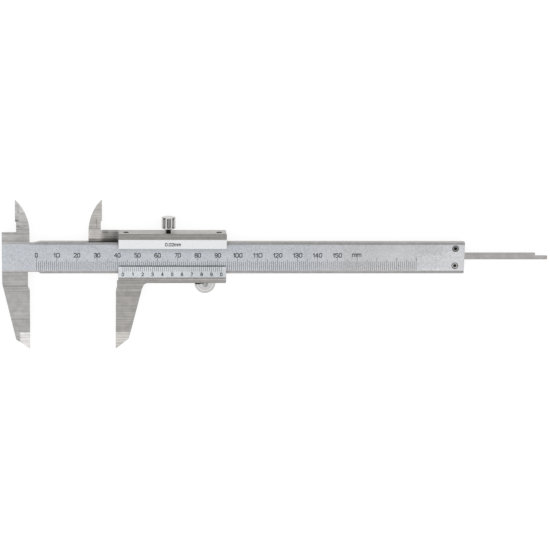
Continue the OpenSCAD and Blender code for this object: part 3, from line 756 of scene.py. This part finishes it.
@dataclass
class Beam:
    """The fixed side: beam with its head, the end stop and the main scale."""

    # Last line that shows, last engraved line and last figure
    divisions: int = 190
    grooves: int = 200
    numbered: int = 150
    line_width: float = 0.115
    groove_width: float = 0.15
    line_depth: float = 0.06
    low_y: float = 1.6
    short: float = 4.6
    middle: float = 5.6
    long: float = 6.8
    figure_height: float = 2.3
    figure_y: float = 9.43
    # Widths of one, two and three figures
    figure_widths: tuple[float, ...] = (1.45, 3.15, 4.6)
    stroke: float = 0.35
    unit_width: float = 4.7
    unit_place: Pair = (159.7, 9.7)
    # The filled grooves lie this far below the face and reach as far under its edges
    flush: float = 0.001
    ink: ScaleInk = field(default_factory=ScaleInk)

    def build(self) -> None:
        """Dress the CAD pieces and build the scale's enamel and figures."""
        sides = GroundSteel(name="beam_sides", patches=(
            # Painted shade on the two bevels; the head's shoulder lighter; the fixed outside jaw
            # with its bright tip
            Patch(0.77, x=(-3.3, None), y=(8.0, None), z=(5.3, None)),
            Patch(0.95, x=(0.5, None), y=(None, 2.5), z=(5.3, None)),
            Patch(1.13, x=(None, -11.0), y=(14.6, 20.8), soft=(2.0, 0.05, 0.05)),
            Patch(1.06, x=(None, 0.0), y=(-30.7, -21.0), soft=(0.1, 2.0, 0.05)),
            Patch(1.83, x=(-8.6, 0.0), y=(None, -30.7), soft=(0.1, 0.1, 0.05)),
            # The fixed inside jaw, paler towards its point, and a dark line across it by its notch
            Patch(1.12, x=(None, 0.0), y=(24.6, None), soft=(0.05, 0.8, 0.05)),
            Patch(1.05, x=(None, -7.3), y=(24.6, 33.0), soft=(0.8, 0.8, 0.05)),
            Patch(1.4, x=(None, 0.0), y=(31.0, None), soft=(0.05, 5.0, 0.05)),
            Patch(0.66, x=(None, -7.9), y=(23.7, 24.3), z=(5.0, None), soft=(0.5, 0.15, 0.05)),
            Patch(0.76, x=(-9.0, -5.9), y=(23.3, 23.7), z=(5.0, None), soft=(0.5, 0.15, 0.05))))
        face = SatinChrome(patches=(
            # The plating is duller above the figures, and less blue and brighter to the right
            Patch(0.965, y=(10.9, None), soft=(1.0, 1.0, 1.0)),
            Patch(1.0, x=(145.0, None), soft=(10.0, 1.0, 1.0), tint=(1.03, 1.0, 0.97)),
            Patch(1.16, x=(203.0, None), soft=(3.0, 1.0, 1.0)),
            Patch(1.04, x=(175.0, 203.0), soft=(4.0, 1.0, 1.0)),
            Patch(1.13, x=(191.5, 203.0), y=(None, 9.0), soft=(2.0, 2.0, 1.0)),
            # Painted shade and highlight along the two bevels: a dark border and a light rim at the
            # upper one, a lighter band and a dark border at the lower one
            Patch(0.7, x=(-3.3, None), y=(14.75, None), soft=(0.05, 0.12, 0.05)),
            Patch(1.25, x=(0.5, None), y=(15.72, None), soft=(0.05, 0.1, 0.05)),
            Patch(1.06, x=(0.5, None), y=(1.3, 2.7), soft=(0.05, 0.3, 0.05)),
            Patch(0.76, x=(0.5, None), y=(None, 1.25), soft=(0.05, 0.12, 0.05))))
        beam = dress("main_beam", BeamFinish(face=face, sides=sides))
        dress("end_stop_plate", GroundSteel(name="stop_plate_steel"))
        low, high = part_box("end_stop_screws")
        spread = (high.y - low.y) / 2 - (high.x - low.x) / 2
        dress("end_stop_screws", ScrewHead(name="end_screw_heads", centre=tuple((low + high) / 2),
                                           spread=(0.0, spread, 0.0),
                                           patches=(Patch(2.0, y=(None, 8.5)),)))
        enamel = self.ink.material()
        self.fill("main_scale_lines", range(self.divisions + 1), self.line_width,
                  self.line_depth / SUNK_PART, 0.0, enamel)
        self.figures(enamel)
        self.fill("main_scale_blanks", range(self.divisions + 1, self.grooves + 1),
                  self.groove_width, self.flush, self.flush, beam.data.materials[0])

    def line_length(self, mark: int) -> float:
        """Length in mm of one line of the main scale."""
        if mark % 10 == 0:
            return self.long
        return self.middle if mark % 5 == 0 else self.short

    def fill(self, name: str, marks: range, width: float, sunk: float, spill: float,
             material: Material) -> None:
        """Fill engraved lines of the main scale; sizes are in mm.

        Args:
            name: Name of the piece.
            marks: Divisions whose lines are filled.
            width: Width of the fillings.
            sunk: How far they end below the face.
            spill: How far they reach under the grooves' edges.
            material: Material of the fillings.
        """
        mesh = bmesh.new()
        half = width / 2 + spill
        for mark in marks:
            top_y = self.low_y + self.line_length(mark) + spill
            add_bar(mesh, spot(mark - half, self.low_y - spill, SCALE_Z - self.line_depth),
                    spot(mark + half, top_y, SCALE_Z - sunk))
        new_piece(name, mesh, material, "beam")

    def figures(self, enamel: Material) -> None:
        """Add the figures of the main scale and its unit.

        Args:
            enamel: Their material.
        """
        mesh = bmesh.new()
        words = [(str(mark), mark, self.figure_y, self.figure_widths[len(str(mark)) - 1])
                 for mark in range(0, self.numbered + 1, 10)]
        for word, x, y, width in (*words, ("mm", *self.unit_place, self.unit_width)):
            write(mesh, word, Matrix.Translation(spot(x, y, SCALE_Z)), self.figure_height, width,
                  self.stroke)
        new_piece("main_scale_figures", mesh, enamel, "beam")


@dataclass
class Slider:
    """The sliding side: frame with the moving jaws, plates, rod and the vernier scale."""

    zero_x: float = 42.8
    pitch: float = 0.98
    divisions: int = 50
    line_width: float = 0.15
    line_depth: float = 0.06
    line_length: float = 2.4
    line_extra: float = 0.7
    edge_y: float = 3.7
    edge_z: float = 6.05
    seat_y: float = -1.6
    front_z: float = 7.6
    figure_height: float = 1.75
    figure_y: float = -0.05
    figure_width: float = 1.2
    # Share of that width which the figure 1 takes
    narrow_one: float = 0.6
    stroke: float = 0.32
    cover_z: float = 7.8
    mark_place: Pair = (67.5, 15.5)
    mark_width: float = 7.9
    mark_stroke: float = 0.3
    # Lowest and highest corner of the black strip of painted shadow under the vernier's edge, the
    # last two from the bevel's upper edge
    lip_x: Pair = (40.8, 93.9)
    lip_y: Pair = (-0.3, 0.28)
    lip_z: Pair = (-0.24, -0.02)
    leaf_outline: tuple[Pair, ...] = (
        (78.95, -4.1), (78.95, -5.75), (81.1, -5.75), (81.6, -5.55), (82.4, -5.4), (82.4, -4.1))
    leaf_z: Pair = (5.0, 5.2)
    ink: ScaleInk = field(default_factory=lambda: ScaleInk(name="vernier_enamel"))

    def build(self) -> None:
        """Dress the CAD pieces and build the vernier's enamel and figures."""
        steel = GroundSteel(name="slider_ground_steel", light="#ADAAA7", dark="#8E8C89", patches=(
            # The outside jaw's bright tip
            Patch(1.66, y=(None, -30.7), soft=(0.05, 0.1, 0.05)),
            # The inside jaw, a painted shade line with a painted highlight strip by its edge, and
            # its root
            Patch(1.3, x=(None, 36.0), y=(21.3, None), soft=(0.05, 1.0, 0.05)),
            Patch(1.43, x=(None, 32.5), y=(15.0, 21.3), soft=(1.0, 1.0, 0.05)),
            Patch(0.74, x=(29.35, 30.05), y=(23.2, 27.6), z=(3.0, None), soft=(0.15, 1.0, 0.05)),
            Patch(1.06, x=(30.05, 33.0), y=(22.0, None), z=(3.0, None), soft=(0.15, 2.0, 0.05)),
            Patch(1.06, x=(None, 33.0), y=(27.5, None), soft=(0.05, 1.0, 0.05)),
            # The arm, with painted shade where it meets the slider and along the beam
            *(Patch(tone, x, y, (None, 5.5), (*soft, 0.05)) for tone, x, y, soft in (
                (0.75, (32.5, 40.4), (15.0, 21.3), (1.0, 0.5)),
                (0.6, (38.0, 40.4), (15.0, 21.3), (1.5, 0.5)),
                (0.4, (31.5, 40.4), (15.0, 17.6), (1.0, 0.4)),
                (0.45, (None, 31.5), (16.5, 17.5), (1.0, 0.25)),
                (0.72, (34.0, 40.4), (15.0, 19.0), (1.0, 0.4)),
                (0.6, (32.6, 35.6), (20.3, 21.3), (0.5, 0.2)))),
            # Top face lighter, a painted highlight where it faces up; the upper rail's front darker
            # with lighter lines at its foot; painted shade along the lower rail's upper edge; the
            # outside jaw lighter
            Patch(1.25, x=(40.6, None), y=(20.59, None), z=(None, 7.58)),
            Patch(0.84, x=(40.6, None), y=(17.5, 20.62), z=(7.5, None)),
            Patch(1.06, x=(40.6, None), y=(17.5, 18.75), z=(7.5, None), soft=(0.05, 0.1, 0.05)),
            Patch(1.14, x=(40.6, None), y=(17.5, 18.2), z=(7.5, None), soft=(0.05, 0.1, 0.05)),
            Patch(0.94, x=(41.0, None), y=(-3.6, -2.95), soft=(0.5, 0.1, 0.05)),
            Patch(1.06, y=(-30.7, -1.6), soft=(0.05, 0.5, 0.05)),
            Patch(1.09, y=(-30.7, -20.5), soft=(0.05, 2.0, 0.05)),
            # Painted reflection of the knob in the top face, and painted shade round the stud's
            # foot, dark as a counterbore would be
            Patch(0.86, x=(61.5, 69.2), y=(20.59, None), soft=(1.0, 0.05, 0.05)),
            Patch(0.25, x=(63.8, 66.3), y=(20.59, None), z=(None, 6.7), soft=(0.15, 0.05, 0.2))))
        dress("slider_frame", steel)
        dress("depth_rod", GroundSteel(name="rod_drawn_steel", light="#AFACAA", dark="#9C9997",
                                       roughness=0.3))
        duller = (Patch(0.98, x=(60.0, None), soft=(4.0, 1.0, 1.0)),
                  Patch(0.91, x=(74.0, None), soft=(3.0, 1.0, 1.0)))
        dress("vernier_plate", SatinChrome(name="vernier_satin_chrome", light="#E0E3E6",
                                           dark="#C6CACE", patches=duller))
        dress("cover_plate", Lacquer())
        for node in ("retainer_strip", "retainer_pins", "vernier_dowels", "depth_rod_rivets",
                     "roller_arm", "roller_axle", "roller_washer"):
            dress(node, GroundSteel(name=node + "_steel", light="#B3B2B1", dark="#989796",
                                    grain=Grain.NONE, line_mm=0.3))
        dress("gib_strip", GroundSteel(name="gib_phosphor_bronze", light="#C7A66B",
                                       dark="#A98650"))
        for node in ("gib_screw_left", "gib_screw_right", "roller_arm_screws"):
            dress(node, BlackOxide(name=node + "_oxide", light="#4A4745", dark="#1E1C1B"))
        enamel = self.ink.material()
        for name, mesh in (("vernier_lines", self.lines()), ("vernier_figures", self.figures()),
                           ("cover_reading_mark", self.cover_mark())):
            new_piece(name, mesh, enamel, "slider")
        self.dark_edges()

    def tilt(self) -> float:
        """Slope of the vernier plate's bevel, in radians."""
        return math.atan2(self.front_z - self.edge_z, self.edge_y - self.seat_y)

    def on_bevel(self, x: float, y: float) -> Matrix:
        """Matrix that lays things on the bevel at a place given in the drawing's mm."""
        z = self.edge_z + (self.edge_y - y) * math.tan(self.tilt())
        return Matrix.Translation(spot(x, y, z)) @ Matrix.Rotation(-self.tilt(), 4, "X")

    def lines(self) -> Mesh:
        """Fillings of the vernier's engraved lines."""
        mesh = bmesh.new()
        for mark in range(self.divisions + 1):
            length = self.line_length + (self.line_extra if mark % 5 == 0 else 0)
            place = self.on_bevel(self.zero_x + mark * self.pitch, self.edge_y)
            add_bar(mesh, Vector((-self.line_width / 2, -length, -self.line_depth)) * MM,
                    Vector((self.line_width / 2, 0, -self.line_depth / SUNK_PART)) * MM, place)
        return mesh

    def figures(self) -> Mesh:
        """Figures of the vernier."""
        mesh = bmesh.new()
        for index, words in enumerate("01234567890"):
            place = self.on_bevel(self.zero_x + index * 5 * self.pitch, self.figure_y)
            width = self.figure_width * (self.narrow_one if words == "1" else 1)
            write(mesh, words, place, self.figure_height, width, self.stroke)
        return mesh

    def cover_mark(self) -> Mesh:
        """Reading step on the white cover plate."""
        mesh = bmesh.new()
        write(mesh, "0.02mm", Matrix.Translation(spot(*self.mark_place, self.cover_z)),
              self.figure_height, self.mark_width, self.mark_stroke)
        return mesh

    def dark_edges(self) -> None:
        """Add the black strip of painted shadow under the vernier's edge, and the blued leaf by the
        roller, black so that it also stands for the shadow there.
        """
        shadow_and_leaf_black = BlackOxide(name="black_shadow_and_leaf", light="#1C1B1A", dark="#0A0A0A").material()
        # Painted shadow: a black strip just under the vernier's thin edge, where the edge shades
        # the beam
        edge_shadow = bmesh.new()
        corners = [spot(x, self.edge_y + y, self.edge_z + z)
                   for x, y, z in zip(self.lip_x, self.lip_y, self.lip_z)]
        add_bar(edge_shadow, *corners)
        new_piece("vernier_edge_shadow", edge_shadow, shadow_and_leaf_black, "slider")
        # A thin blued leaf by the roller, black so that it also stands for the shadow where the
        # rail overhangs the roller
        leaf = bmesh.new()
        low, high = ([leaf.verts.new(spot(x, y, z)) for x, y in self.leaf_outline]
                     for z in self.leaf_z)
        leaf.faces.new(list(reversed(low)))
        leaf.faces.new(high)
        for index in range(len(low)):
            after = (index + 1) % len(low)
            leaf.faces.new((low[index], low[after], high[after], high[index]))
        new_piece("roller_leaf_and_shadow", leaf, shadow_and_leaf_black, "slider")


@dataclass
class ThumbRoller:
    """Knurled roller that the thumb turns along the beam's lower edge."""

    teeth: int = 40
    points: int = 8
    notch: float = 0.1
    bore: float = 0.95
    rounding: float = 0.3
    corner_parts: int = 3
    # How far in from the rim the grooves end, and the raised ring's top and foot
    groove_end: float = 0.42
    ring_in: float = 0.8
    ring_foot_in: float = 0.95
    # Radii of the hub's top and foot, and how far the face between ring and hub is sunk
    hub: float = 1.7
    hub_foot: float = 1.9
    sunk: float = 0.12
    pin_diameter: float = 2.8
    pin_rise: float = 2.1
    pin_overlap: float = 0.02
    pin_points: int = 32
    # Radius and height of each ring of the pin's head, as shares of the two above
    pin_profile: tuple[Pair, ...] = ((1.05, 0.0), (1.0, 0.8), (0.7, 1.0))

    def build(self) -> None:
        """Build the roller over its CAD node."""
        low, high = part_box("thumb_roller")
        centre = (low + high) / 2
        radius = (high.x - low.x) / 2
        thick = high.z - low.z
        bore = self.bore * MM
        low_face = thick - self.sunk * MM
        rows = [(bore, 0.0),
                *corner(radius, 0.0, self.rounding * MM, self.corner_parts, foot=True),
                *corner(radius, thick, self.rounding * MM, self.corner_parts, foot=False),
                (radius - self.ring_in * MM, thick), (radius - self.ring_foot_in * MM, low_face),
                (self.hub_foot * MM, low_face), (self.hub * MM, thick), (bore, thick)]
        plain = radius - self.groove_end * MM

        def knurl(size: float, height: float, angle: float) -> float:
            """Radius with the grooves of the knurl cut into the rim."""
            if size < plain:
                return size
            wave = abs(math.sin(angle * self.teeth / 2))
            return size - self.notch * MM * (1 - wave) ** 2

        mesh = bmesh.new()
        lathe(mesh, rows, self.teeth * self.points,
              Matrix.Translation((centre.x, centre.y, low.z)), knurl)
        plate = TurnedPlate(name="roller_nickel_plate", light="#E4E3E1", dark="#B8B7B5",
                            centre=tuple(centre), ring_mm=0.9)
        piece = new_piece("roller_body", mesh, plate.material(), "roller")
        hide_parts("thumb_roller")
        self.pin_head()

    def pin_head(self) -> None:
        """Build the tall riveted head of the roller's pin."""
        low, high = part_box("roller_axle")
        centre = (low + high) / 2
        radius = self.pin_diameter / 2 * MM
        base = high.z - self.pin_overlap * MM
        rows = [(radius * wide, self.pin_rise * MM * tall) for wide, tall in self.pin_profile]
        mesh = bmesh.new()
        lathe(mesh, rows, self.pin_points, Matrix.Translation((centre.x, centre.y, base)))
        steel = GroundSteel(name="pin_head_steel", light="#B0B2B0", dark="#989A98",
                            grain=Grain.NONE, line_mm=0.3).material()
        new_piece("roller_pin_head", mesh, steel, "slider", smooth=True)


@dataclass
class LockScrew:
    """Threaded stud and fluted knob that clamp the slider."""

    pitch: float = 0.5
    thread_depth: float = 0.22
    rings_per_turn: int = 8
    thread_points: int = 24
    # The plain pin below the thread: length, chamfer, height of the step to the thread, and radii
    # as shares of the stud's
    pin_length: float = 1.33
    pin_chamfer: float = 0.15
    shoulder: float = 0.01
    pin_share: float = 0.55
    pin_end_share: float = 0.7
    # The knob: bore, roundings of its foot and top, depth of the dish, shares of its radius where
    # the dish begins, is deep and ends
    bore: float = 1.28
    curve: float = 0.7
    crown: float = 0.4
    dish: float = 0.1
    dish_shares: Triple = (0.62, 0.5, 0.1)
    corner_parts: int = 5
    side_rings: int = 12
    points_per_flute: int = 20
    # How far in from the rim the painted shade of the flutes ends
    tarnish_in: float = 0.35
    flutes: int = 8
    flute_diameter: float = 1.9
    # Where the flutes begin above the knob's foot and below its top, and how they run out
    flute_foot: float = 0.45
    flute_top: float = -0.6
    flute_run_out: float = 0.55

    def build(self) -> None:
        """Build the stud and the knob over their CAD nodes."""
        self.stud()
        self.knob()

    @staticmethod
    def along_y(x: float, y: float, z: float) -> Matrix:
        """Matrix that turns z into y at a place in metres."""
        return Matrix.Translation((x, y, z)) @ Matrix.Rotation(-math.pi / 2, 4, "X")

    def stud(self) -> None:
        """Build the stud with its thread."""
        low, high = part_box("lock_stud")
        centre = (low + high) / 2
        radius = (high.z - low.z) / 2
        slim = radius * self.pin_share
        step = self.pin_length * MM
        threaded = high.y - low.y - step
        count = round(threaded / (self.pitch * MM) * self.rings_per_turn)
        rows = [(slim * self.pin_end_share, 0.0), (slim, self.pin_chamfer * MM),
                (slim, step - self.shoulder * MM)]
        rows += [(radius, step + i * threaded / count) for i in range(count + 1)]

        def thread(size: float, height: float, angle: float) -> float:
            """Radius with the helical thread cut into it."""
            if size < radius or height <= step:
                return size
            phase = (height / (self.pitch * MM) - angle / math.tau) % 1
            return size - self.thread_depth * MM * abs(2 * phase - 1)

        mesh = bmesh.new()
        lathe(mesh, rows, self.thread_points, self.along_y(centre.x, low.y, centre.z), thread)
        piece = new_piece("lock_thread", mesh, BlackOxide(name="stud_oxide").material(),
                          "lock_screw", smooth=True)
        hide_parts("lock_stud")

    def knob(self) -> None:
        """Build the knob with its flutes and rounded ends."""
        low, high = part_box("lock_knob")
        centre = (low + high) / 2
        radius = (high.z - low.z) / 2
        tall = high.y - low.y
        curve, crown = self.curve * MM, self.crown * MM
        sides = self.side_rings
        rows = [(self.bore * MM, 0.0), *corner(radius, 0.0, curve, self.corner_parts, foot=True)]
        rows += [(radius, curve + (tall - curve - crown) * i / sides) for i in range(1, sides)]
        rows += corner(radius, tall, crown, self.corner_parts, foot=False)
        rows += [(radius * share, tall - depth * MM)
                 for share, depth in zip(self.dish_shares, (0.0, self.dish, self.dish))]
        bite = self.flute_diameter / 2 * MM

        def fluted(size: float, height: float, angle: float) -> float:
            """Radius cut back where a flute's circle crosses it."""
            slice_ = math.tau / self.flutes
            off = (angle + slice_ / 2) % slice_ - slice_ / 2
            across = radius * math.sin(off)
            if abs(across) >= bite:
                return size
            floor = radius * math.cos(off) - math.sqrt(bite * bite - across * across)
            inside = min(height - self.flute_foot * MM, tall - height - self.flute_top * MM)
            deep = min(max(inside / (self.flute_run_out * MM), 0.0), 1.0)
            return size - deep * max(size - floor, 0.0)

        mesh = bmesh.new()
        lathe(mesh, rows, self.flutes * self.points_per_flute,
              self.along_y(centre.x, low.y, centre.z), fluted)
        foot, top = low.y / MM - EDGE_Y, high.y / MM - EDGE_Y
        axis = centre.x / MM - ZERO_X
        # Painted shade in the flutes' hollows, darker at the ends of the flutes either side of the
        # front one and at the top corners beside it
        beside = ((None, axis - 1.5), (axis + 1.5, None))
        corners = ((axis - 3.3, axis - 1.7), (axis + 1.7, axis + 3.3))
        plate = TurnedPlate(name="knob_nickel_plate", light="#DAD9D7", dark="#C2C1BF",
                            centre=tuple(centre), across=(1.0, 0.0, 1.0),
                            tarnish_mm=radius / MM - self.tarnish_in, patches=(
                                Patch(0.46, y=(foot + 0.4, top - 0.17), soft=(0.1, 0.05, 0.1)),
                                *(Patch(0.5, x=x, y=(top - 1.0, top - 0.17),
                                        soft=(0.1, 0.05, 0.1)) for x in beside),
                                *(Patch(0.5, x=x, y=(top - 0.25, None), z=(6.0, 8.4),
                                        soft=(0.2, 0.05, 0.3)) for x in corners),
                                *(Patch(0.6, x=x, y=(foot + 0.4, foot + 1.1),
                                        soft=(0.1, 0.2, 0.1)) for x in beside)))
        piece = new_piece("knob_fluted", mesh, plate.material(), "lock_grip")
        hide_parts("lock_knob")


@dataclass
class Studio:
    """Camera at the photograph's angle, white floor, soft light."""

    position: Triple = (-0.0996921, 0.3193273, 1.1158076)
    right: Triple = (0.99637817, 0.02320984, 0.08180376)
    up: Triple = (0.00027744, 0.96113517, -0.27607809)
    back: Triple = (-0.0850322, 0.27510088, 0.95764766)
    lens_mm: float = 151.513
    sensor_mm: float = 36.0
    clip: Pair = (0.05, 20.0)
    floor_radius: float = 2.5
    floor_points: int = 96
    # The floor as it lights the tool, and as it is seen with its glow
    floor_colour: str = "#E6E6E6"
    paper_colour: str = "#7A7A7A"
    glow: float = 0.86
    # The surround at the horizon and above the height where it is white; its light on the tool
    horizon: str = "#CBCBCB"
    white_from: float = 0.8
    sky_light: float = 0.85

    def camera(self) -> None:
        """Create the camera and make it the scene's."""
        data = bpy.data.cameras.new("photo_camera")
        data.sensor_width = self.sensor_mm
        data.lens = self.lens_mm
        data.clip_start, data.clip_end = self.clip
        camera = add_object("photo_camera", data)
        turn = Matrix((self.right, self.up, self.back)).transposed().to_4x4()
        camera.matrix_world = Matrix.Translation(self.position) @ turn
        bpy.context.scene.camera = camera

    @staticmethod
    def split(nodes: Nodes, output: str, lit: bpy.types.Node, seen: bpy.types.Node) -> None:
        """Close a tree with one shader for light and one for camera and mirror rays.

        Args:
            nodes: Node tree.
            output: Node type of the output without its ShaderNode prefix.
            lit: Shader that lights the tool.
            seen: Shader that the camera sees, also in mirrors and through glass.
        """
        path = nodes.add("LightPath").outputs
        first = nodes.add("Math", {0: path["Is Camera Ray"], 1: path["Is Glossy Ray"]},
                          operation="MAXIMUM").outputs[0]
        share = nodes.add("Math", {0: first, 1: path["Is Transmission Ray"]},
                          operation="MAXIMUM").outputs[0]
        mix = nodes.add("MixShader", {0: share, 1: lit.outputs[0], 2: seen.outputs[0]})
        nodes.add(output, {"Surface": mix.outputs[0]})

    def floor(self) -> None:
        """Add the round white floor; a share of glow lifts it to white and keeps the shadow."""
        mesh = bmesh.new()
        bmesh.ops.create_circle(mesh, cap_ends=True, segments=self.floor_points,
                                radius=self.floor_radius)
        data = bpy.data.meshes.new("floor")
        mesh.to_mesh(data)
        mesh.free()
        add_object("floor", data)
        material = bpy.data.materials.new("floor_paper")
        nodes = Nodes(material, None)
        plain, paper = (nodes.add("BsdfDiffuse", {"Color": linear(code)})
                        for code in (self.floor_colour, self.paper_colour))
        glow = nodes.add("Emission", {"Color": WHITE, "Strength": self.glow})
        lifted = nodes.add("AddShader", {0: paper.outputs[0], 1: glow.outputs[0]})
        self.split(nodes, "OutputMaterial", plain, lifted)
        data.materials.append(material)

    def world(self) -> None:
        """Set a pale surround: white overhead, a little darker towards the horizon."""
        world = bpy.data.worlds.new("studio")
        bpy.context.scene.world = world
        nodes = Nodes(world, "Generated")
        pale = nodes.blend(nodes.ramp(nodes.height(), 0.0, self.white_from),
                           linear(self.horizon), WHITE)
        seen = nodes.add("Background", {"Color": pale, "Strength": 1.0})
        lit = nodes.add("Background", {"Color": WHITE, "Strength": self.sky_light})
        self.split(nodes, "OutputWorld", lit, seen)

    @staticmethod
    def lamp(name: str, at: Triple, size: float, power: float) -> None:
        """Add one square soft lamp that faces the object.

        Args:
            name: Name of the lamp.
            at: Its place in metres.
            size: Its side in metres.
            power: Its power in watts.
        """
        data = bpy.data.lights.new(name, "AREA")
        data.shape = "SQUARE"
        data.size = size
        data.energy = power
        lamp = add_object(name, data)
        lamp.location = at
        lamp.rotation_mode = "QUATERNION"
        lamp.rotation_quaternion = (-Vector(at)).to_track_quat("-Z", "Y")

    def build(self) -> None:
        """Build the whole studio."""
        bpy.context.scene.view_settings.view_transform = "Standard"
        self.camera()
        self.floor()
        self.world()
        self.lamp("key_lamp", at=(-0.9, -1.0, 1.1), size=0.9, power=2.6)
        self.lamp("fill_lamp", at=(1.1, 0.9, 0.9), size=0.9, power=1.6)
        LOG.info("studio ready")


def main() -> None:
    """Build the studio and the sub-assemblies in order."""
    logging.basicConfig(level=logging.INFO, format="%(name)s: %(message)s")
    Studio().build()
    for part in (Beam(), Slider(), ThumbRoller(), LockScrew()):
        part.build()
        LOG.info("%s done", type(part).__name__)


if __name__ == "__main__":
    main()
